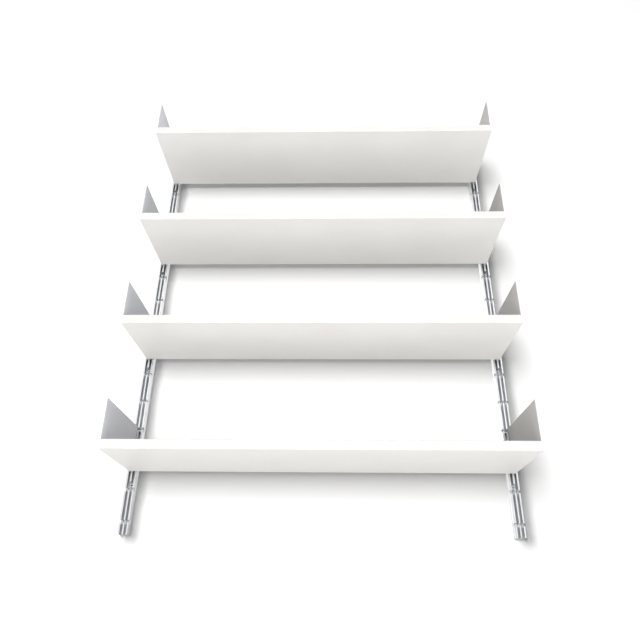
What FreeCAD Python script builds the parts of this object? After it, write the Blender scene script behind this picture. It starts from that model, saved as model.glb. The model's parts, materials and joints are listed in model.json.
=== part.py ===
"""Wall shelf: two notched wall tracks carry four steel shelves that hook over turned pins.

Millimetres. X runs along the shelves, Y into the wall and Z up. The origin is on the wall face,
in the middle of the pattern of wall screws.
"""
import FreeCAD, Part
import math
import os

V = FreeCAD.Vector

# Levels along the tracks
NOTCH_PITCH = 72.0
NOTCH_COUNT = 16
TRACK_END_MARGIN = 28.5
NOTCHES_PER_STEP = 4
SCREW_COUNT = 4
NOTCH_BELOW_SCREW = 11.0
SPARE_NOTCH_COUNT = 1
SHELF_COUNT = 4
NOTCH_COUNT_UNDER_FIRST_PIN = 3

# Track section
FIN_THICKNESS = 4.2
TRACK_DEPTH = 20.0
BASE_THICKNESS = 3.5
FIN_CHAMFER = 0.4

# Notches in the fins: a level way in, then a seat that drops behind a lip
NOTCH_RADIUS = 3.0
NOTCH_LIP_RISE = 0.5
PIN_BEHIND_TIPS = 8.5

# Hanger pins
PIN_SEAT_CLEARANCE = 0.05
PIN_BODY_RADIUS = 3.9
PIN_BODY_SIDE_CLEARANCE = 0.2
PIN_OVERHANG = 1.0
PIN_CHAMFER = 0.5

# Wall screws: a plain shank fits the track, and a slimmer core goes on from the wall face
SHANK_RADIUS = 2.5
SHANK_HOLE_CLEARANCE = 0.1
SCREW_CORE_RADIUS = 2.1
SCREW_REACH = 42.0
SCREW_POINT = 7.0
SCREW_HEAD_RADIUS = 4.5
SCREW_HEAD_HEIGHT = 2.6
SCREW_HEAD_CHAMFER = 0.8
SCREW_SOCKET_RADIUS = 2.3
SCREW_SOCKET_DEPTH = 1.8
SCREW_SOCKET_SIDE_COUNT = 6
SCREW_HEAD_CLEARANCE = 1.5

# Shelf shell, rail and stiffener
SHELF_WIDTH = 907.0
SHELF_DEPTH = 210.0
LIP_HEIGHT = 20.5
SHEET = 1.2
BEND_INSIDE_RADIUS = 0.9
SHELF_TO_TIPS = 0.5
RAIL_FLANGE = 18.0
STIFFENER_WEB = 36.0
STIFFENER_FLANGE = 14.0

# End plates
PLATE_THICKNESS = 3.0
PLATE_HEIGHT = 109.0
PLATE_CORNER_RADIUS = 2.5
PLATE_RIM_CHAMFER = 0.4
PLATE_SIDE_CLEARANCE = 0.975
PLATE_FLOOR_CLEARANCE = 0.3
HOOK_BELOW_TOP = 9.5
HOOK_CLEARANCE = 0.3
HOOK_SLOPE = 45.0
HOOK_MOUTH_ROUND = 1.0

# Worked out from the sizes above
CHANNEL = PLATE_THICKNESS + 2 * PLATE_SIDE_CLEARANCE
FIN_PITCH = CHANNEL + FIN_THICKNESS
TRACK_WIDTH = 2 * FIN_PITCH + FIN_THICKNESS
STEP = NOTCHES_PER_STEP * NOTCH_PITCH
LOWEST_SCREW = -(SCREW_COUNT - 1) * STEP / 2
LOWEST_NOTCH = LOWEST_SCREW - NOTCH_BELOW_SCREW - SPARE_NOTCH_COUNT * NOTCH_PITCH
TRACK_BOTTOM = LOWEST_NOTCH - TRACK_END_MARGIN
TRACK_LENGTH = (NOTCH_COUNT - 1) * NOTCH_PITCH + 2 * TRACK_END_MARGIN
PIN_DROP = NOTCH_RADIUS + NOTCH_LIP_RISE
PIN_Y = -TRACK_DEPTH + PIN_BEHIND_TIPS
PLATE_X = SHELF_WIDTH / 2 - PLATE_THICKNESS / 2
TRACK_X = PLATE_X - FIN_PITCH / 2
SHELL_LENGTH = SHELF_WIDTH - 2 * PLATE_THICKNESS
SHELL_REAR = -TRACK_DEPTH - SHELF_TO_TIPS
SHELL_FRONT = SHELL_REAR - SHELF_DEPTH
INNER_LOW = SHEET + SHEET / 2
INNER_HIGH = LIP_HEIGHT - INNER_LOW
PLATE_REAR = -BASE_THICKNESS - PLATE_FLOOR_CLEARANCE
HOOK_HEIGHT = PLATE_HEIGHT - HOOK_BELOW_TOP
OVERCUT = 1.0
TINY = 1e-6

SIDES = {"left": -1, "right": 1}


def span_box(low, high):
    """A box between two corner points."""
    size = V(*high) - V(*low)
    return Part.makeBox(size.x, size.y, size.z, V(*low))


def arc(start, middle, end):
    return Part.Arc(start, middle, end).toShape()


def line(start, end):
    return Part.LineSegment(start, end).toShape()


def prism(edges, x_low, x_high):
    """A solid between two X values, whose outline in the YZ plane is the closed ring of edges."""
    face = Part.Face(Part.Wire(edges))
    face.translate(V(x_low, 0, 0))
    return face.extrude(V(x_high - x_low, 0, 0))


def in_plane(y, z):
    return V(0, y, z)


def folded_sheet(corners, x_low, x_high):
    """Sheet metal bent along a path of (y, z) corners, which the middle of the sheet follows.

    Both faces are the path moved half a sheet to its left and right, and at each corner they
    turn on arcs about one centre.
    """
    points = [in_plane(*corner) for corner in corners]
    runs = [(after - before).normalize() for before, after in zip(points, points[1:])]
    lefts = [V(0, -run.z, run.y) for run in runs]
    bend = BEND_INSIDE_RADIUS + SHEET / 2

    def face_edges(side):
        edges = []
        start = points[0] + lefts[0] * side
        for index in range(1, len(points) - 1):
            before, after = runs[index - 1], runs[index]
            half_turn = before.getAngle(after) / 2
            inward = (after - before).normalize()
            centre = points[index] + inward * (bend / math.cos(half_turn))
            turns_left = before.cross(after).x > 0
            radius = bend - side if turns_left else bend + side
            outward_in = lefts[index - 1] * (-1 if turns_left else 1)
            outward_out = lefts[index] * (-1 if turns_left else 1)
            bend_start = centre + outward_in * radius
            bend_end = centre + outward_out * radius
            edges.append(line(start, bend_start))
            edges.append(arc(bend_start, centre - inward * radius, bend_end))
            start = bend_end
        end = points[-1] + lefts[-1] * side
        edges.append(line(start, end))
        return edges, points[0] + lefts[0] * side, end

    left_edges, left_start, left_end = face_edges(SHEET / 2)
    right_edges, right_start, right_end = face_edges(-SHEET / 2)
    ring = left_edges + [line(left_end, right_end)] + right_edges + [line(right_start, left_start)]
    return prism(Part.__sortEdges__(ring), x_low, x_high)


def notch_tool(level):
    """The notch cut across all three fins: a level slot from the tips, dropping into a seat."""
    mouth = -TRACK_DEPTH - OVERCUT
    radius = NOTCH_RADIUS
    seat = level - PIN_DROP
    shoulder = radius * math.sqrt(0.5)
    top = in_plane(PIN_Y, level + radius)
    back_top = in_plane(PIN_Y + radius, level)
    back_bottom = in_plane(PIN_Y + radius, seat)
    lip_inside = in_plane(PIN_Y - radius, seat)
    lip_top = in_plane(PIN_Y - radius, level - radius)
    mouth_low = in_plane(mouth, level - radius)
    mouth_high = in_plane(mouth, level + radius)
    edges = [
        line(mouth_high, top),
        arc(top, in_plane(PIN_Y + shoulder, level + shoulder), back_top),
        line(back_top, back_bottom),
        arc(back_bottom, in_plane(PIN_Y, seat - radius), lip_inside),
        line(lip_inside, lip_top),
        line(lip_top, mouth_low),
        line(mouth_low, mouth_high),
    ]
    half = TRACK_WIDTH / 2 + OVERCUT
    return prism(edges, -half, half)


def screw_way(level):
    """The clear way for a wall screw: its hole in the base and its head's room in the middle fin."""
    along = V(0, 1, 0)
    hole = Part.makeCylinder(SHANK_RADIUS + SHANK_HOLE_CLEARANCE, BASE_THICKNESS + 2 * OVERCUT,
                             V(0, -BASE_THICKNESS - OVERCUT, level), along)
    head_room = Part.makeCylinder(SCREW_HEAD_RADIUS + SCREW_HEAD_CLEARANCE,
                                  TRACK_DEPTH - BASE_THICKNESS + OVERCUT,
                                  V(0, -TRACK_DEPTH - OVERCUT, level), along)
    return [hole, head_room]


def extrusion():
    """The bare bar of a track about x = 0: an E of three fins with chamfered tips, on a base."""
    half_width = TRACK_WIDTH / 2
    outline = [(half_width, 0), (-half_width, 0)]
    for place in (-1, 0, 1):
        left = place * FIN_PITCH - FIN_THICKNESS / 2
        right = left + FIN_THICKNESS
        outline += [
            (left, -BASE_THICKNESS),
            (left, FIN_CHAMFER - TRACK_DEPTH),
            (left + FIN_CHAMFER, -TRACK_DEPTH),
            (right - FIN_CHAMFER, -TRACK_DEPTH),
            (right, FIN_CHAMFER - TRACK_DEPTH),
            (right, -BASE_THICKNESS),
        ]
    section = Part.makePolygon([V(x, y, TRACK_BOTTOM) for x, y in outline + outline[:1]])
    return Part.Face(section).extrude(V(0, 0, TRACK_LENGTH)).removeSplitter()


def track():
    """One wall track about x = 0: the extrusion with its notches and screw ways."""
    tools = [notch_tool(LOWEST_NOTCH + index * NOTCH_PITCH) for index in range(NOTCH_COUNT)]
    for index in range(SCREW_COUNT):
        tools += screw_way(LOWEST_SCREW + index * STEP)
    return extrusion().cut(Part.makeCompound(tools))


def wall_screw():
    """One screw at the origin's level: a chamfered head with a socket, a shank, a core and a point."""
    seat = -BASE_THICKNESS
    crown = seat - SCREW_HEAD_HEIGHT
    profile = [
        (0, crown),
        (SCREW_HEAD_RADIUS - SCREW_HEAD_CHAMFER, crown),
        (SCREW_HEAD_RADIUS, crown + SCREW_HEAD_CHAMFER),
        (SCREW_HEAD_RADIUS, seat),
        (SHANK_RADIUS, seat),
        (SHANK_RADIUS, 0),
        (SCREW_CORE_RADIUS, 0),
        (SCREW_CORE_RADIUS, SCREW_REACH - SCREW_POINT),
        (0, SCREW_REACH),
        (0, crown),
    ]
    outline = Part.makePolygon([V(radius, y, 0) for radius, y in profile])
    screw = Part.Face(outline).revolve(V(0, 0, 0), V(0, 1, 0), 360)
    turns = [2 * math.pi * side / SCREW_SOCKET_SIDE_COUNT for side in range(SCREW_SOCKET_SIDE_COUNT)]
    corners = [V(SCREW_SOCKET_RADIUS * math.cos(turn), crown - OVERCUT, SCREW_SOCKET_RADIUS * math.sin(turn))
               for turn in turns]
    mouth = Part.Face(Part.makePolygon(corners + corners[:1]))
    return screw.cut(mouth.extrude(V(0, SCREW_SOCKET_DEPTH + OVERCUT, 0)))


def hanger_pin():
    """One turned pin about the X axis: slim necks lie in the fins, fat bodies fill the channels."""
    neck = NOTCH_RADIUS - PIN_SEAT_CLEARANCE
    end = TRACK_WIDTH / 2 + PIN_OVERHANG
    pin = Part.makeCylinder(neck, 2 * end, V(-end, 0, 0), V(1, 0, 0))
    rims = [edge for edge in pin.Edges if abs(abs(edge.CenterOfMass.x) - end) < TINY]
    pin = pin.makeChamfer(PIN_CHAMFER, rims)
    length = CHANNEL - 2 * PIN_BODY_SIDE_CLEARANCE
    for place in (-1, 1):
        low = place * FIN_PITCH / 2 - length / 2
        pin = pin.fuse(Part.makeCylinder(PIN_BODY_RADIUS, length, V(low, 0, 0), V(1, 0, 0)))
    return pin.removeSplitter()


def shell():
    """The folded shell over an underside at z = 0: deck, front lip and underside in one sheet."""
    skin = SHEET / 2
    path = [
        (SHELL_REAR, LIP_HEIGHT - skin),
        (SHELL_FRONT + skin, LIP_HEIGHT - skin),
        (SHELL_FRONT + skin, skin),
        (SHELL_REAR, skin),
    ]
    return folded_sheet(path, -SHELL_LENGTH / 2, SHELL_LENGTH / 2)


def rear_rail():
    """The channel that closes the shell's rear, its flanges against the deck and the underside."""
    web = SHELL_REAR - SHEET / 2
    path = [
        (web - RAIL_FLANGE, INNER_HIGH),
        (web, INNER_HIGH),
        (web, INNER_LOW),
        (web - RAIL_FLANGE, INNER_LOW),
    ]
    return folded_sheet(path, -SHELL_LENGTH / 2, SHELL_LENGTH / 2)


def stiffener():
    """The hat section under the middle of the deck, its two flanges on the underside."""
    middle = (SHELL_FRONT + SHELL_REAR) / 2
    wall = STIFFENER_WEB / 2
    foot = wall + STIFFENER_FLANGE
    path = [
        (middle - foot, INNER_LOW),
        (middle - wall, INNER_LOW),
        (middle - wall, INNER_HIGH),
        (middle + wall, INNER_HIGH),
        (middle + wall, INNER_LOW),
        (middle + foot, INNER_LOW),
    ]
    return folded_sheet(path, -SHELL_LENGTH / 2, SHELL_LENGTH / 2)


def cross_edges(solid, y, z_low, z_high):
    """The edges that run along X at one y, between two levels."""
    return [edge for edge in solid.Edges
            if abs(edge.CenterOfMass.y - y) < TINY and abs(edge.tangentAt(edge.FirstParameter).x) > 1 - TINY
            and z_low - TINY < edge.CenterOfMass.z < z_high + TINY]


def end_plate():
    """One end plate about x = 0, its lower edge at z = 0 and its hook slot open at the rear edge.

    The rims of both faces are chamfered last, all the way round the outline and the slot.
    """
    half = PLATE_THICKNESS / 2
    plate = span_box((-half, SHELL_FRONT, 0), (half, PLATE_REAR, PLATE_HEIGHT))
    plate = plate.makeFillet(BEND_INSIDE_RADIUS + SHEET, cross_edges(plate, SHELL_FRONT, 0, 0))
    others = cross_edges(plate, SHELL_FRONT, PLATE_HEIGHT, PLATE_HEIGHT)
    others += cross_edges(plate, PLATE_REAR, 0, PLATE_HEIGHT)
    plate = plate.makeFillet(PLATE_CORNER_RADIUS, others)

    width = PIN_BODY_RADIUS + HOOK_CLEARANCE
    run = (PLATE_REAR - PIN_Y) / math.cos(math.radians(HOOK_SLOPE)) + 2 * width
    across = PLATE_THICKNESS + 2 * OVERCUT
    way = Part.makeBox(across, run, 2 * width, V(-across / 2, 0, -width))
    seat = Part.makeCylinder(width, across, V(-across / 2, 0, 0), V(1, 0, 0))
    slot = way.fuse(seat)
    slot.rotate(V(0, 0, 0), V(1, 0, 0), -HOOK_SLOPE)
    slot.translate(V(0, PIN_Y, HOOK_HEIGHT))
    plate = plate.cut(slot)
    mouth = cross_edges(plate, PLATE_REAR, 2 * PLATE_CORNER_RADIUS, HOOK_HEIGHT)
    plate = plate.makeFillet(HOOK_MOUTH_ROUND, mouth)
    rims = [edge for edge in plate.Edges if abs(abs(edge.CenterOfMass.x) - half) < TINY]
    return plate.makeChamfer(PLATE_RIM_CHAMFER, rims)


def placed(shape, x, z, y=0):
    copy = shape.copy()
    copy.translate(V(x, y, z))
    return copy


def build():
    """Every node's solid, by name."""
    nodes = {}
    one_track, one_screw, one_pin, one_plate = track(), wall_screw(), hanger_pin(), end_plate()
    shelf_pieces = {"shell": shell(), "rear_rail": rear_rail(), "stiffener": stiffener()}
    screw_levels = [LOWEST_SCREW + index * STEP for index in range(SCREW_COUNT)]
    for side, sign in SIDES.items():
        nodes[f"{side}_track"] = placed(one_track, sign * TRACK_X, 0)
        screws = [placed(one_screw, sign * TRACK_X, level) for level in screw_levels]
        nodes[f"{side}_wall_screws"] = Part.makeCompound(screws)
    for index in range(SHELF_COUNT):
        shelf = f"shelf_{index + 1}"
        notch = LOWEST_NOTCH + NOTCH_COUNT_UNDER_FIRST_PIN * NOTCH_PITCH + index * STEP
        pin_level = notch - PIN_DROP
        underside = pin_level - HOOK_HEIGHT
        for name, piece in shelf_pieces.items():
            nodes[f"{shelf}_{name}"] = placed(piece, 0, underside)
        for side, sign in SIDES.items():
            nodes[f"{shelf}_{side}_end"] = placed(one_plate, sign * PLATE_X, underside)
            nodes[f"{shelf}_{side}_pin"] = placed(one_pin, sign * TRACK_X, pin_level, PIN_Y)
    return nodes


os.makedirs("parts", exist_ok=True)
for node, solid in build().items():
    solid.exportStep(f"parts/{node}.step")
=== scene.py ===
"""Looks of the wall shelf: powder-coated steel shelves on notched aluminium tracks, on a pale wall.

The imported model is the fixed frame, in metres: X runs along the shelves, Y into the wall and Z up.
"""
import json
import math

import bmesh
import bpy
import numpy as np
from bpy.props import FloatProperty, FloatVectorProperty, IntProperty, PointerProperty
from mathutils import Matrix, Vector


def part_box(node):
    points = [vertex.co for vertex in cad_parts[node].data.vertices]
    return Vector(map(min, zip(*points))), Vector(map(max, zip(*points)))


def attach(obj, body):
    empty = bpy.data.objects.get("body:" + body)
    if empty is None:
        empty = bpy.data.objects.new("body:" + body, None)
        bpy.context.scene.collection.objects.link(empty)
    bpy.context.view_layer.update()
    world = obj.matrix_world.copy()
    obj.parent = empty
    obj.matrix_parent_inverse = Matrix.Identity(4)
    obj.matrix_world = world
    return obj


bl_info = {
    "name": "Wall Shelf",
    "version": (1, 0, 0),
    "blender": (4, 5, 0),
    "location": "View3D > Sidebar > Wall Shelf",
    "description": "Finishes the packed wall shelf and sets its stage",
    "category": "Object",
}

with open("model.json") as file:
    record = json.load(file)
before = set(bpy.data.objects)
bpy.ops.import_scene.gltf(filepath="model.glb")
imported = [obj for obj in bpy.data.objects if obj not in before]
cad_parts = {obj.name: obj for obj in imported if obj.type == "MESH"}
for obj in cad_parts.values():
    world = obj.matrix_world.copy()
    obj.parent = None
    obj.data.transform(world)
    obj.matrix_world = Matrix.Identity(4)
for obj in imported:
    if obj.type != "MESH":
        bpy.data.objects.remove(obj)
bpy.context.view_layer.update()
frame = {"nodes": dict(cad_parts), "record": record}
NODES = frame["nodes"]
SLOT_OF = {entry["node"]: entry["material_slot"] for entry in frame["record"]["subparts"]}
MOUNTS = {mount["name"]: mount["dims"] for mount in frame["record"]["mounts"]}
MM = 0.001
SCREW_X = MOUNTS["wall_screws_outer"]["spacing_x_mm"] * MM / 2
SCREW_CORE = MOUNTS["wall_screws_outer"]["stud_r_mm"] * MM
TRACK_LOW, TRACK_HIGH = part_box("left_track")
NOTCHES_PER_STEP = 4
RIDGE_CORNERS = 3
UP, DOWN = (0.0, 0.0, 1.0), (0.0, 0.0, -1.0)

EDGE = 0.0002  # how far the edge of a mask spreads
TOUCH = 0.002  # what is nearer than this to the wall doesn't mirror it
MERGE = 1e-6  # points nearer than this are one
MATT = 0.9  # roughness of the stage's paint

# Where a mask starts and where it is full, on a noise or on one part of a normal
CLOUDED = (0.35, 0.65)
STREAKED = (0.30, 0.70)
PATCHY = (0.45, 0.80)
FACING_UP = (0.60, 0.95)
FACING_ASIDE = (0.30, 0.60)


# Shader trees

class Field:
    """One output of a node. Arithmetic on it adds Math nodes, with plain numbers on either side."""

    def __init__(self, finish, socket):
        self.finish = finish
        self.socket = socket

    def math(self, operation, *terms):
        return self.finish.node("ShaderNodeMath", {"operation": operation}, dict(enumerate(terms)))

    def __add__(self, other):
        return self.math("ADD", self, other)

    def __radd__(self, other):
        return self.math("ADD", other, self)

    def __sub__(self, other):
        return self.math("SUBTRACT", self, other)

    def __rsub__(self, other):
        return self.math("SUBTRACT", other, self)

    def __mul__(self, other):
        return self.math("MULTIPLY", self, other)

    def __rmul__(self, other):
        return self.math("MULTIPLY", other, self)

    def __truediv__(self, other):
        return self.math("DIVIDE", self, other)

    def __rtruediv__(self, other):
        return self.math("DIVIDE", other, self)

    def __abs__(self):
        return self.math("ABSOLUTE", self)

    def fraction(self):
        return self.math("FRACT", self)

    def from_nearest(self, first, pitch):
        """How far it is from the nearest of evenly spaced values, one of which is the first."""
        return abs(((self - first) / pitch + 0.5).fraction() - 0.5) * pitch

    def step(self, low, high):
        """A smooth rise from 0 at low to 1 at high."""
        settings = {"interpolation_type": "SMOOTHSTEP", "clamp": True}
        sockets = {0: self, 1: low, 2: high, 3: 0.0, 4: 1.0}
        return self.finish.node("ShaderNodeMapRange", settings, sockets)


class Finish:
    """The node tree of a material or a world. Every node in it is made by node()."""

    def __init__(self, name, library="materials"):
        self.owner = getattr(bpy.data, library).new(name)
        self.owner.use_nodes = True
        self.tree = self.owner.node_tree
        self.tree.nodes.clear()

    def node(self, kind, settings=None, sockets=None, output=0):
        """A node of that kind. Settings are set before the sockets get values or links."""
        made = self.tree.nodes.new(kind)
        for key, value in (settings or {}).items():
            setattr(made, key, value)
        for key, value in (sockets or {}).items():
            if isinstance(value, Field):
                self.tree.links.new(value.socket, made.inputs[key])
            else:
                made.inputs[key].default_value = value
        return Field(self, made.outputs[output]) if made.outputs else None

    def place(self):
        """The point on the piece, in the part's frame, because every object sits at the origin."""
        return self.node("ShaderNodeTexCoord", output="Object")

    def facing(self):
        """The x, y and z of the surface's normal."""
        return self.parts(self.node("ShaderNodeNewGeometry", output="Normal"))

    def noise(self, place, cell, detail, stretch=(1.0, 1.0, 1.0)):
        """Noise in cells of that size in metres, each axis drawn out by its stretch."""
        scale = tuple(1.0 / (cell * times) for times in stretch)
        spread = self.node("ShaderNodeMapping", {"vector_type": "POINT"},
                           {"Vector": place, "Scale": scale})
        return self.node("ShaderNodeTexNoise", None,
                         {"Vector": spread, "Scale": 1.0, "Detail": detail})

    def parts(self, vector):
        """The x, y and z of a vector, one field each."""
        return [self.node("ShaderNodeSeparateXYZ", None, {0: vector}, output=axis)
                for axis in range(3)]

    def blend(self, share, first, second):
        """A colour that goes from the first to the second as the share goes from 0 to 1."""
        settings = {"data_type": "RGBA", "blend_type": "MIX"}
        sockets = {0: share, 6: rgba(first), 7: rgba(second)}
        return self.node("ShaderNodeMix", settings, sockets, output=2)

    def bump(self, height, bend, distance):
        """A normal that follows a height field."""
        sockets = {"Height": height, "Strength": bend, "Distance": distance}
        return self.node("ShaderNodeBump", None, sockets)

    def principled(self, **sockets):
        """A Principled shader. Socket names have underscores for spaces."""
        named = {key.replace("_", " "): value for key, value in sockets.items()}
        return self.node("ShaderNodeBsdfPrincipled", None, named)

    def done(self, shader, output="ShaderNodeOutputMaterial"):
        """Links a shader to the output and returns the material or the world."""
        self.node(output, None, {"Surface": shader})
        return self.owner


def rgba(tone):
    """A field as it is, or three numbers as an opaque colour."""
    return tone if isinstance(tone, Field) else (*tone, 1.0)


# Finishes

def powder_coat(coat):
    """White powder coat: two sizes of peel, faint mottling, and thin dust on what faces up."""
    finish = Finish("white_powder_coat")
    place = finish.place()
    peel = finish.noise(place, coat.peel_size, detail=1.0)
    grain = finish.noise(place, coat.grain_size, detail=2.0)
    mottle = finish.noise(place, coat.mottle_size, detail=3.0).step(*CLOUDED)
    facing_up = finish.facing()[2].step(*FACING_UP)
    dust = facing_up * finish.noise(place, coat.dust_size, detail=4.0).step(*PATCHY)
    tone = finish.blend(mottle, coat.pale, coat.shade)
    tone = finish.blend(dust * coat.dust_amount, tone, coat.dust)
    roughness = coat.roughness + grain * coat.grain_roughness + dust * coat.dust_roughness
    height = peel * coat.peel_share + grain * (1 - coat.peel_share)
    return finish.done(finish.principled(
        Base_Color=tone, Roughness=roughness, Specular_IOR_Level=coat.shine,
        Normal=finish.bump(height, coat.peel_strength, coat.peel_height)))


def extruded_aluminium(metal):
    """Satin anodised extrusion: die lines along Z, cloudy etching, bare notches and sawn ends."""
    finish = Finish("satin_aluminium")
    place = finish.place()
    _, back, level = finish.parts(place)
    along = (1.0, 1.0, metal.line_stretch)
    lines = finish.noise(place, metal.line_size, detail=3.0, stretch=along)
    broad = finish.noise(place, metal.line_size * metal.broad_lines, detail=2.0, stretch=along)
    cloud = finish.noise(place, metal.cloud_size, detail=3.0)
    saw = finish.noise(place, metal.saw_size, detail=2.0, stretch=(metal.saw_stretch, 1.0, 1.0))
    middle = (TRACK_LOW.z + TRACK_HIGH.z) / 2
    half = (TRACK_HIGH.z - TRACK_LOW.z) / 2
    end = abs(level - middle).step(half - metal.end_depth, half - metal.end_depth * metal.end_full)
    milled = milled_notches(finish, back, level, metal)
    streak = lines * metal.line_share + broad * (1 - metal.line_share)
    tone = finish.blend(streak.step(*STREAKED), metal.dark, metal.light)
    tone = finish.blend(end * saw.step(*CLOUDED), tone, metal.sawn)
    tone = finish.blend(milled, tone, metal.milled)
    roughness = (metal.roughness + streak * metal.line_roughness + cloud * metal.cloud_roughness
                 + (end + milled) * metal.cut_roughness)
    height = streak * (1 - end) + saw * end
    return finish.done(finish.principled(
        Base_Color=tone, Metallic=1 - milled * metal.milled_matt, Roughness=roughness,
        Normal=finish.bump(height, metal.line_strength, metal.line_height)))


def milled_notches(finish, back, level, metal):
    """1 on the notches' cut faces: near a notch, behind the fins' tips, and square to the fins."""
    low, high = [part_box(f"shelf_{count}_left_pin") for count in (1, 2)]
    seat = (low[0] + low[1]) / 2
    pitch = (high[0].z - low[0].z) / NOTCHES_PER_STEP
    middle = seat.z + metal.notch_drop / 2
    reach = metal.notch_reach + metal.notch_drop / 2
    near = 1 - level.from_nearest(middle, pitch).step(reach, reach + EDGE)
    shallow = 1 - back.step(seat.y + metal.notch_reach, seat.y + metal.notch_reach + EDGE)
    behind_tips = back.step(TRACK_LOW.y, TRACK_LOW.y + EDGE)
    cut_across = 1 - abs(finish.facing()[0]).step(*FACING_ASIDE)
    return near * shallow * behind_tips * cut_across


def turned_aluminium(metal):
    """Bright turned pins: fine tool rings that change only along the pin, which lies along X."""
    finish = Finish("turned_aluminium")
    place = finish.place()
    round_pin = (1.0, metal.ring_stretch, metal.ring_stretch)
    rings = finish.noise(place, metal.ring_size, detail=2.0, stretch=round_pin)
    cloud = finish.noise(place, metal.cloud_size, detail=3.0)
    tone = finish.blend(rings.step(*STREAKED), metal.dark, metal.light)
    roughness = (metal.roughness + rings * metal.ring_roughness
                 + cloud * metal.pin_cloud_roughness)
    return finish.done(finish.principled(
        Base_Color=tone, Metallic=1.0, Roughness=roughness,
        Normal=finish.bump(rings, metal.ring_strength, metal.ring_height)))


def zinc_plate(screw):
    """Clear zinc plate: a cool and a warm tone in clouds, over faint pits, and painted shade in the
    sockets.
    """
    finish = Finish("zinc_plated_steel")
    place = finish.place()
    cloud = finish.noise(place, screw.cloud_size, detail=3.0)
    pits = finish.noise(place, screw.pit_size, detail=2.0)
    socket = socket_shade_mask(finish, place, screw)
    tone = finish.blend(cloud.step(*CLOUDED), screw.cool, screw.warm)
    # Painted shade: the sockets' recesses get a near-black tone, as if they lay in shadow.
    tone = finish.blend(socket, tone, screw.socket)
    roughness = screw.roughness + pits * screw.pit_roughness + socket * screw.socket_roughness
    return finish.done(finish.principled(
        Base_Color=tone, Metallic=1.0, Roughness=roughness,
        Normal=finish.bump(pits, screw.pit_strength, screw.pit_depth)))


def socket_shade_mask(finish, place, screw):
    """1 in the screws' sockets, where near-black shade is painted: just behind the crowns, and near
    the axis of one of the screws.

    The outer screws lie one step of the inner ones further out, so that step finds all four.
    """
    across, back, level = finish.parts(place)
    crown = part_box("left_wall_screws")[0].y
    low, high = screw_levels("wall_screws_inner")
    beside = abs(across) - SCREW_X
    above = level.from_nearest(low, high - low)
    off_axis = beside * beside + above * above
    within = 1 - off_axis.step(screw.socket_radius ** 2, (screw.socket_radius + EDGE) ** 2)
    behind = back.step(crown, crown + EDGE)
    shallow = 1 - back.step(crown + screw.socket_depth, crown + screw.socket_depth + EDGE)
    return within * behind * shallow


def dress(slot, material):
    """Puts a material on every CAD node of a slot."""
    for name, node in NODES.items():
        if SLOT_OF[name] == slot:
            node.data.materials.clear()
            node.data.materials.append(material)


# Settings

def colour(name, description, default):
    return FloatVectorProperty(name=name, description=description, subtype="COLOR", size=3,
                               min=0.0, max=1.0, default=default)


def length(name, description, default):
    return FloatProperty(name=name, description=description, unit="LENGTH",
                         min=0.0, precision=5, default=default)


def factor(name, description, default):
    return FloatProperty(name=name, description=description, subtype="FACTOR",
                         min=0.0, max=1.0, default=default)


def ratio(name, description, default):
    return FloatProperty(name=name, description=description, min=1.0, default=default)


def power(name, description, default):
    return FloatProperty(name=name, description=description, unit="POWER", min=0.0, default=default)


def position(name, description, default):
    return FloatVectorProperty(name=name, description=description, subtype="XYZ", unit="LENGTH",
                               default=default)


def strength(name, description, default):
    return FloatProperty(name=name, description=description, min=0.0, default=default)


def angle(name, description, degrees):
    return FloatProperty(name=name, description=description, subtype="ANGLE",
                         default=math.radians(degrees))


class CoatSettings(bpy.types.PropertyGroup):
    """The shelves' powder coat."""

    pale: colour("Pale tone", "The coat's lighter tone", (0.865, 0.852, 0.830))
    shade: colour("Deep tone", "The coat's darker tone", (0.842, 0.826, 0.802))
    dust: colour("Dust", "Dust on what faces up", (0.70, 0.69, 0.67))
    dust_amount: factor("Dust amount", "How much the dust covers", 0.18)
    dust_size: length("Dust patch", "Size of a patch of dust", 0.030)
    dust_roughness: factor("Dust roughness", "Roughness that dust adds", 0.15)
    roughness: factor("Roughness", "Roughness before the grain", 0.40)
    shine: factor("Shine", "How strongly the coat mirrors", 0.12)
    peel_size: length("Peel size", "Size of the orange peel", 0.0022)
    peel_share: factor("Peel share", "Share of the peel in the relief; the rest is grain", 0.7)
    peel_strength: factor("Peel strength", "How much the relief bends the light", 0.10)
    peel_height: length("Peel height", "Height of the relief", 0.0003)
    grain_size: length("Grain size", "Size of the fine grain", 0.0006)
    grain_roughness: factor("Grain roughness", "Roughness that the grain adds", 0.10)
    mottle_size: length("Mottle size", "Size of the mottling", 0.16)


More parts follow.
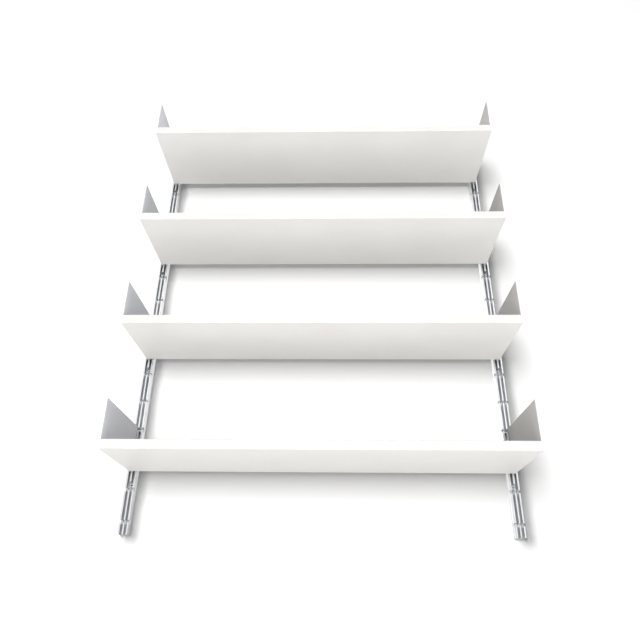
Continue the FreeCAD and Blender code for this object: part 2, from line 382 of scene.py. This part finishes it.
class MetalSettings(bpy.types.PropertyGroup):
    """The tracks' and pins' aluminium."""

    dark: colour("Dark tone", "The metal's darker tone", (0.58, 0.59, 0.61))
    light: colour("Light tone", "The metal's lighter tone", (0.76, 0.77, 0.78))
    sawn: colour("Sawn ends", "Bright cuts on the sawn ends", (0.88, 0.88, 0.88))
    milled: colour("Milled notches", "Bare metal in the milled notches", (0.86, 0.86, 0.86))
    milled_matt: factor("Milled matt", "How matt the milled faces are", 0.6)
    cut_roughness: factor("Cut roughness", "Roughness that sawing and milling add", 0.10)
    notch_reach: length("Notch reach", "How far the milled finish goes from a notch's axis", 0.0033)
    notch_drop: length("Notch drop", "How far a notch goes down to its seat", 0.0035)
    roughness: factor("Roughness", "Roughness before the lines", 0.24)
    line_size: length("Line size", "Width of a die line", 0.0004)
    line_stretch: ratio("Line stretch", "How many widths a die line is long", 400.0)
    line_share: factor("Line share", "Share of the fine lines, where the rest is broad ones", 0.6)
    line_roughness: factor("Line roughness", "Roughness that the lines add", 0.18)
    line_strength: factor("Line strength", "How much the lines bend the light", 0.12)
    line_height: length("Line height", "Height of the lines", 0.0001)
    broad_lines: ratio("Broad lines", "How many fine lines a broad one is wide", 6.0)
    cloud_size: length("Cloud size", "Size of the etched clouds", 0.012)
    cloud_roughness: factor("Cloud roughness", "Roughness that the tracks' clouds add", 0.08)
    pin_cloud_roughness: factor("Pin clouds", "Roughness that the pins' clouds add", 0.06)
    saw_size: length("Saw mark", "Width of a saw mark", 0.0005)
    saw_stretch: ratio("Saw stretch", "How many widths a saw mark is long", 12.0)
    end_depth: length("End depth", "How far the sawn finish goes in", 0.0008)
    end_full: factor("End full", "Share of that depth over which it is full", 0.25)
    ring_size: length("Ring size", "Width of a tool ring on the pins", 0.0003)
    ring_stretch: ratio("Ring stretch", "How many widths a ring is drawn out round the pin", 400.0)
    ring_roughness: factor("Ring roughness", "Roughness that the rings add", 0.14)
    ring_strength: factor("Ring strength", "How much the rings bend the light", 0.15)
    ring_height: length("Ring height", "Height of the rings", 0.00005)


class ScrewSettings(bpy.types.PropertyGroup):
    """The wall screws' threads and plating."""

    cool: colour("Cool tone", "The plating's cool tone", (0.66, 0.69, 0.73))
    warm: colour("Warm tone", "The plating's warm tone", (0.74, 0.73, 0.68))
    # Painted shade: the socket tone stands in for the shadow inside the sockets' recesses.
    socket: colour("Socket", "Dark tone inside the sockets", (0.012, 0.012, 0.013))
    socket_radius: length("Socket radius", "Radius inside which the dark tone lies", 0.00235)
    socket_depth: length("Socket depth", "How far behind the crown the dark tone goes", 0.0019)
    socket_roughness: factor("Socket roughness", "Roughness that the sockets add", 0.4)
    roughness: factor("Roughness", "Roughness before the pits", 0.26)
    cloud_size: length("Cloud size", "Size of the clouds in the plating", 0.003)
    pit_size: length("Pit size", "Size of a pit", 0.0003)
    pit_roughness: factor("Pit roughness", "Roughness that the pits add", 0.16)
    pit_strength: factor("Pit strength", "How much the pits bend the light", 0.10)
    pit_depth: length("Pit depth", "Depth of the pits", 0.00005)
    pitch: length("Thread pitch", "Distance from turn to turn", 0.0022)
    crest: length("Crest radius", "Radius of the thread's crest", 0.0026)
    foot: length("Thread foot", "Width of the thread at the core", 0.0011)
    sink: length("Thread sink", "How far the thread's foot lies in the core", 0.0002)
    runout: FloatProperty(name="Run-out", min=0.1, default=0.8,
                          description="Turns over which the thread fades at each end")
    bare: IntProperty(name="Bare turns", description="Turns left off the point", min=0, default=3)
    sides: IntProperty(name="Steps", description="Steps in a turn of the thread", min=8, default=28)


class StageSettings(bpy.types.PropertyGroup):
    """The wall, the floor, the cards, the lights and the camera."""

    wall: colour("Wall", "The wall's colour", (0.60, 0.60, 0.60))
    floor: colour("Floor", "The floor's colour", (0.88, 0.88, 0.87))
    wall_gap: length("Wall gap", "Distance from the tracks to the wall", 0.0003)
    drop: length("Floor drop", "Height of the origin above the floor", 1.35)
    reach: length("Reach", "Half the width of the wall and the floor", 6.0)
    key: power("Key power", "Power of the key light", 310.0)
    key_place: position("Key place", "Where the key light stands", (0.6, -7.0, 3.0))
    key_size: length("Key size", "Width of the key light", 1.3)
    shade: power("Shade power", "Power of the light that draws every shadow on the wall", 1930.0)
    shade_place: position("Shade place", "Where that light stands", (-2.2, -11.2, 1.5))
    shade_size: length("Shade size", "Width of that light", 4.5)
    flag_width: length("Flag width", "Width of the cards that soften the tracks' shadows", 0.020)
    flag_out: length("Flag distance", "Distance from those cards to the wall", 0.080)
    graze: power("Graze power", "Power of the light that draws the tracks' shadows alone", 580.0)
    graze_place: position("Graze place", "Where that light stands", (-9.0, -9.0, 5.5))
    graze_size: length("Graze size", "Width of that light", 5.0)
    card: power("Card power", "Power of the white card that the metal mirrors", 150.0)
    card_place: position("Card place", "Where the white card stands", (0.0, -4.0, 1.6))
    card_size: length("Card size", "Width of the white card", 5.0)
    top: power("Top power", "Power of the light over the top shelf", 46.0)
    top_place: position("Top place", "Where the light over the top shelf hangs", (0.0, -0.3, 3.0))
    top_size: length("Top size", "Width of the light over the top shelf", 0.6)
    glow: power("Glow power", "Power of the wide light that lies on the floor", 156.0)
    glow_place: position("Glow place", "Middle of the light on the floor", (0.0, -2.9, -1.34))
    glow_width: length("Glow width", "Width of the light on the floor", 8.0)
    glow_depth: length("Glow depth", "Depth of the light on the floor", 5.0)
    side: power("Side power", "Power of the cool light on the right", 44.0)
    side_place: position("Side place", "Where the cool light stands", (6.0, -1.5, 0.4))
    side_size: length("Side size", "Width of the cool light", 3.0)
    side_tint: colour("Side tint", "Colour of the cool light", (0.20, 0.42, 1.0))
    ends: power("Ends power", "Power of the light on either side, on the end plates", 150.0)
    ends_place: position("Ends place", "Where the right one of the two stands", (6.0, -2.5, 1.2))
    ends_size: length("Ends size", "Width of those lights", 3.0)
    back: power("Back power", "Power of the light behind the wall, for views from there", 90.0)
    back_place: position("Back place", "Where the light behind the wall stands", (0.0, 6.0, 2.5))
    back_size: length("Back size", "Width of the light behind the wall", 4.0)
    ground: power("Ground power", "Power of the light that falls on the floor", 360.0)
    ground_place: position("Ground place", "Where the light over the floor hangs", (0.0, -1.0, 6.0))
    ground_size: length("Ground size", "Width of the light over the floor", 10.0)
    sky: colour("Sky", "Colour of the light from all round", (1.0, 1.0, 1.0))
    sky_strength: strength("Sky strength", "Strength of the light from all round", 0.01)
    sky_seen: strength("Sky seen", "How bright the studio is behind the part", 0.85)
    sky_mirrored: strength("Sky mirrored", "How bright the studio is in the metal", 0.14)
    lens: FloatProperty(name="Lens", description="Focal length", unit="CAMERA", default=33.02)
    camera: position("Camera place", "Where the camera stands", (0.0311, -1.4105, -0.7065))
    pitch: angle("Pitch", "How far the camera looks up", 26.90)
    yaw: angle("Yaw", "How far the camera turns to the left", 1.554)
    roll: angle("Roll", "How far the camera leans", 0.705)


class WallShelfSettings(bpy.types.PropertyGroup):
    """All settings of the wall shelf."""

    coat: PointerProperty(type=CoatSettings, name="Coat", description="The shelves' powder coat")
    metal: PointerProperty(type=MetalSettings, name="Aluminium",
                           description="The tracks' and pins' metal")
    screw: PointerProperty(type=ScrewSettings, name="Screws", description="The wall screws")
    stage: PointerProperty(type=StageSettings, name="Stage",
                           description="Wall, floor, cards, lights and camera")


# Shapes

def thread_surface(start, end, axis_x, axis_z, core, screw):
    """A thread's ridge round one screw, as (points, quads).

    The parameters are the turn about the screw's axis and the corner of a three-sided ridge: two
    feet sunk in the core and one crest. The radius is the foot's plus the corner's height times a
    fade, and the way along Y is the turn times the pitch plus the corner's offset times the same
    fade, so both ends close to a point.
    """
    turns = (end - start) / screw.pitch
    turn = np.linspace(0.0, turns, int(turns * screw.sides) + 1)[:, None]
    fade = np.clip(np.minimum(turn, turns - turn) / screw.runout, 0.0, 1.0)
    rise = np.array([[0.0, 1.0, 0.0]]) * (screw.crest - core + screw.sink)
    offset = np.array([[-0.5, 0.0, 0.5]]) * screw.foot
    radius = core - screw.sink + rise * fade
    around = 2.0 * np.pi * turn
    points = np.stack([axis_x + radius * np.cos(around),
                       start + turn * screw.pitch + offset * fade,
                       axis_z + radius * np.sin(around)], axis=-1)
    ring, corner = np.meshgrid(np.arange(len(turn) - 1), np.arange(RIDGE_CORNERS), indexing="ij")
    beside = (corner + 1) % RIDGE_CORNERS
    here, after = ring * RIDGE_CORNERS, (ring + 1) * RIDGE_CORNERS
    quads = np.stack([here + corner, here + beside, after + beside, after + corner], axis=-1)
    return points.reshape(-1, 3), quads.reshape(-1, 4)


def mesh_object(name, shapes):
    """One object of several (points, faces), with doubles merged and faces turned outwards."""
    offsets = np.cumsum([0] + [len(points) for points, _ in shapes])
    points = np.concatenate([points for points, _ in shapes])
    faces = np.concatenate([faces + offset for (_, faces), offset in zip(shapes, offsets)])
    mesh = bpy.data.meshes.new(name)
    mesh.from_pydata(points.tolist(), [], faces.tolist())
    work = bmesh.new()
    work.from_mesh(mesh)
    bmesh.ops.remove_doubles(work, verts=work.verts, dist=MERGE)
    bmesh.ops.recalc_face_normals(work, faces=work.faces)
    work.to_mesh(mesh)
    work.free()
    made = bpy.data.objects.new(name, mesh)
    bpy.context.scene.collection.objects.link(made)
    return made


def screw_levels(mount):
    """The two levels of a rectangle of wall screws."""
    half = MOUNTS[mount]["spacing_y_mm"] * MM / 2
    return [-half, half]


# Operators

class WALLSHELF_OT_coat_shelves(bpy.types.Operator):
    """Puts the white powder coat on the shelves"""

    bl_idname = "wallshelf.coat_shelves"
    bl_label = "Coat the shelves"

    def execute(self, context):
        dress("white_powder_coat", powder_coat(context.scene.wall_shelf.coat))
        return {"FINISHED"}


class WALLSHELF_OT_finish_tracks(bpy.types.Operator):
    """Puts the anodised finish on the wall tracks"""

    bl_idname = "wallshelf.finish_tracks"
    bl_label = "Finish the tracks"

    def execute(self, context):
        dress("satin_aluminium", extruded_aluminium(context.scene.wall_shelf.metal))
        return {"FINISHED"}


class WALLSHELF_OT_finish_pins(bpy.types.Operator):
    """Puts the turned finish on the hanger pins"""

    bl_idname = "wallshelf.finish_pins"
    bl_label = "Finish the pins"

    def execute(self, context):
        dress("turned_aluminium", turned_aluminium(context.scene.wall_shelf.metal))
        return {"FINISHED"}


class WALLSHELF_OT_thread_screws(bpy.types.Operator):
    """Plates the wall screws and winds their threads"""

    bl_idname = "wallshelf.thread_screws"
    bl_label = "Thread the screws"

    def execute(self, context):
        screw = context.scene.wall_shelf.screw
        plating = zinc_plate(screw)
        dress("zinc_plated_steel", plating)
        levels = screw_levels("wall_screws_outer") + screw_levels("wall_screws_inner")
        for side, axis_x in (("left", -SCREW_X), ("right", SCREW_X)):
            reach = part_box(f"{side}_wall_screws")[1].y
            end = reach - screw.bare * screw.pitch
            shapes = [thread_surface(screw.pitch, end, axis_x, level, SCREW_CORE, screw)
                      for level in levels]
            thread = mesh_object(f"{side}_screw_threads", shapes)
            thread.data.materials.append(plating)
            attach(thread, "tracks")
        return {"FINISHED"}


class WALLSHELF_OT_set_stage(bpy.types.Operator):
    """Sets the wall, the floor, the cards, the soft lights and the camera"""

    bl_idname = "wallshelf.set_stage"
    bl_label = "Set the stage"

    def execute(self, context):
        stage = context.scene.wall_shelf.stage
        wall, floor = set_backdrop(stage)
        set_lights(stage, wall, floor, set_flags(stage))
        context.scene.world = studio_sky(stage)
        context.scene.view_settings.view_transform = "Standard"
        set_camera(context.scene, stage)
        return {"FINISHED"}


# Stage

def flat_sheet(name, corners, material):
    """A four-cornered sheet of the stage."""
    mesh = bpy.data.meshes.new(name)
    mesh.from_pydata(corners, [], [(0, 1, 2, 3)])
    mesh.materials.append(material)
    made = bpy.data.objects.new(name, mesh)
    bpy.context.scene.collection.objects.link(made)
    return made


def backdrop_finish(name, tone, one_sided):
    """Plain matt paint.

    One-sided paint isn't there from behind, so that the part's back shows, nor from a hair away,
    so that the tracks' backs don't mirror it.
    """
    finish = Finish(name)
    shader = finish.principled(Base_Color=rgba(tone), Roughness=MATT)
    if one_sided:
        clear = finish.node("ShaderNodeBsdfTransparent")
        in_front = 1 - finish.node("ShaderNodeNewGeometry", output="Backfacing")
        ray_length = finish.node("ShaderNodeLightPath", output="Ray Length")
        away = ray_length.step(TOUCH, TOUCH + EDGE)
        shader = finish.node("ShaderNodeMixShader", None, {0: in_front * away, 1: clear, 2: shader})
    return finish.done(shader)


def set_backdrop(stage):
    """The wall and the floor. The wall is seen, also in the metal, but doesn't light the part."""
    reach, low, face = stage.reach, -stage.drop, stage.wall_gap
    wall_corners = [(-reach, face, low), (reach, face, low),
                    (reach, face, reach), (-reach, face, reach)]
    floor_corners = [(-reach, -reach, low), (reach, -reach, low),
                     (reach, reach, low), (-reach, reach, low)]
    wall = flat_sheet("wall", wall_corners, backdrop_finish("wall_paint", stage.wall, True))
    floor = flat_sheet("floor", floor_corners, backdrop_finish("floor_paint", stage.floor, False))
    wall.visible_diffuse = False
    return wall, floor


def set_flags(stage):
    """A card in front of each track, which only shades the wall: the tracks' shadows get soft."""
    cloth = backdrop_finish("flag_cloth", stage.wall, False)
    flags = []
    for side in ("left", "right"):
        low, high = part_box(f"{side}_track")
        near, far, out = high.x - stage.flag_width, high.x, -stage.flag_out
        corners = [(near, out, low.z), (far, out, low.z), (far, out, high.z), (near, out, high.z)]
        flag = flat_sheet(f"{side}_flag", corners, cloth)
        flag.visible_camera = False
        flag.visible_diffuse = False
        flag.visible_glossy = False
        flag.visible_transmission = False
        flags.append(flag)
    return flags


def soft_light(name, place, watts, width, depth=None, toward=None):
    """An area light that the camera doesn't see. It faces the origin, or a direction if given."""
    lamp = bpy.data.lights.new(name, "AREA")
    lamp.shape = "RECTANGLE"
    lamp.size = width
    lamp.size_y = depth or width
    lamp.energy = watts
    made = bpy.data.objects.new(name, lamp)
    made.location = place
    made.rotation_euler = Vector(toward or -Vector(place)).to_track_quat("-Z", "Y").to_euler()
    made.visible_camera = False
    bpy.context.scene.collection.objects.link(made)
    return made


def linked(name, objects, state):
    """A collection that links a light to those objects only, or to everything but them."""
    group = bpy.data.collections.new(name)
    for item in objects:
        group.objects.link(item)
    for entry in group.collection_objects:
        entry.light_linking.link_state = state
    return group


def set_lights(stage, wall, floor, flags):
    """The lights, each with what it lights and what blocks it.

    Two from the left fall on the wall alone: shade draws every shadow there, and graze only the
    tracks'.
    """
    right = Vector(stage.ends_place)
    left = right * Vector((-1.0, 1.0, 1.0))
    key = soft_light("key", stage.key_place, stage.key, stage.key_size)
    card = soft_light("card", stage.card_place, stage.card, stage.card_size)
    top = soft_light("top", stage.top_place, stage.top, stage.top_size, toward=DOWN)
    glow = soft_light("glow", stage.glow_place, stage.glow, stage.glow_width, stage.glow_depth, UP)
    side = soft_light("side", stage.side_place, stage.side, stage.side_size)
    left_ends = soft_light("left_ends", left, stage.ends, stage.ends_size)
    right_ends = soft_light("right_ends", right, stage.ends, stage.ends_size)
    back = soft_light("back", stage.back_place, stage.back, stage.back_size)
    ground = soft_light("ground", stage.ground_place, stage.ground, stage.ground_size, toward=DOWN)
    shade = soft_light("shade", stage.shade_place, stage.shade, stage.shade_size)
    graze = soft_light("graze", stage.graze_place, stage.graze, stage.graze_size)
    side.data.color = stage.side_tint
    key.visible_glossy = False
    glow.visible_glossy = False
    card.visible_diffuse = False

    tracks, left_plates, right_plates = [
        [node for name, node in NODES.items() if name.endswith(ending)]
        for ending in ("_track", "_left_end", "_right_end")]
    past_flags = linked("past_flags", flags, "EXCLUDE")
    past_wall = linked("past_wall", [wall, *flags], "EXCLUDE")
    by_tracks = linked("by_tracks", tracks, "INCLUDE")
    off_wall = linked("off_wall", [wall], "EXCLUDE")
    off_stage = linked("off_stage", [wall, floor], "EXCLUDE")
    off_plates = linked("off_plates", [wall, floor, *left_plates, *right_plates], "EXCLUDE")
    on_left = linked("on_left_plates", left_plates, "INCLUDE")
    on_right = linked("on_right_plates", right_plates, "INCLUDE")
    on_floor = linked("on_floor", [floor], "INCLUDE")
    on_wall = linked("on_wall", [wall], "INCLUDE")
    for lamp, receivers, blockers in (
            (key, off_wall, past_flags),
            (card, off_wall, past_flags),
            (glow, off_wall, past_flags),
            (top, off_stage, past_flags),
            (side, on_left, past_flags),
            (left_ends, on_left, past_flags),
            (right_ends, on_right, past_flags),
            (ground, on_floor, past_flags),
            (back, off_plates, past_wall),
            (shade, on_wall, None),
            (graze, on_wall, by_tracks)):
        lamp.light_linking.receiver_collection = receivers
        lamp.light_linking.blocker_collection = blockers


def studio_sky(stage):
    """Light from all round: dim on the shelves, brighter in the metal, and pale behind the part."""
    sky = Finish("sky", "worlds")
    seen, mirrored = [sky.node("ShaderNodeLightPath", output=ray)
                      for ray in ("Is Camera Ray", "Is Glossy Ray")]
    brightness = (stage.sky_strength + seen * (stage.sky_seen - stage.sky_strength)
                  + mirrored * (stage.sky_mirrored - stage.sky_strength))
    shader = sky.node("ShaderNodeBackground", None,
                      {"Color": rgba(stage.sky), "Strength": brightness})
    return sky.done(shader, "ShaderNodeOutputWorld")


def set_camera(scene, stage):
    """The camera from its place, pitch, yaw and roll."""
    forward = Vector((-math.sin(stage.yaw) * math.cos(stage.pitch),
                      math.cos(stage.yaw) * math.cos(stage.pitch), math.sin(stage.pitch)))
    level = Vector((math.cos(stage.yaw), math.sin(stage.yaw), 0.0))
    lift = level.cross(forward)
    right = level * math.cos(stage.roll) + lift * math.sin(stage.roll)
    up = lift * math.cos(stage.roll) - level * math.sin(stage.roll)
    turn = Matrix((right, up, -forward)).transposed().to_4x4()
    data = bpy.data.cameras.new("camera")
    data.lens = stage.lens
    made = bpy.data.objects.new("camera", data)
    made.matrix_world = Matrix.Translation(stage.camera) @ turn
    scene.collection.objects.link(made)
    scene.camera = made


# Add-on

class WALLSHELF_PT_sidebar(bpy.types.Panel):
    """Lists the steps that finish the wall shelf"""

    bl_idname = "WALLSHELF_PT_sidebar"
    bl_label = "Wall Shelf"
    bl_space_type = "VIEW_3D"
    bl_region_type = "UI"
    bl_category = "Wall Shelf"

    def draw(self, context):
        for operator in OPERATORS:
            self.layout.operator(operator.bl_idname)


SETTINGS = (CoatSettings, MetalSettings, ScrewSettings, StageSettings, WallShelfSettings)
OPERATORS = (WALLSHELF_OT_coat_shelves, WALLSHELF_OT_finish_tracks, WALLSHELF_OT_finish_pins,
             WALLSHELF_OT_thread_screws, WALLSHELF_OT_set_stage)
CLASSES = (*SETTINGS, *OPERATORS, WALLSHELF_PT_sidebar)


def register():
    for item in CLASSES:
        bpy.utils.register_class(item)
    bpy.types.Scene.wall_shelf = PointerProperty(type=WallShelfSettings)


def unregister():
    del bpy.types.Scene.wall_shelf
    for item in reversed(CLASSES):
        bpy.utils.unregister_class(item)


def main():
    register()
    bpy.ops.wallshelf.coat_shelves()
    bpy.ops.wallshelf.finish_tracks()
    bpy.ops.wallshelf.finish_pins()
    bpy.ops.wallshelf.thread_screws()
    bpy.ops.wallshelf.set_stage()


if __name__ == "__main__":
    main()
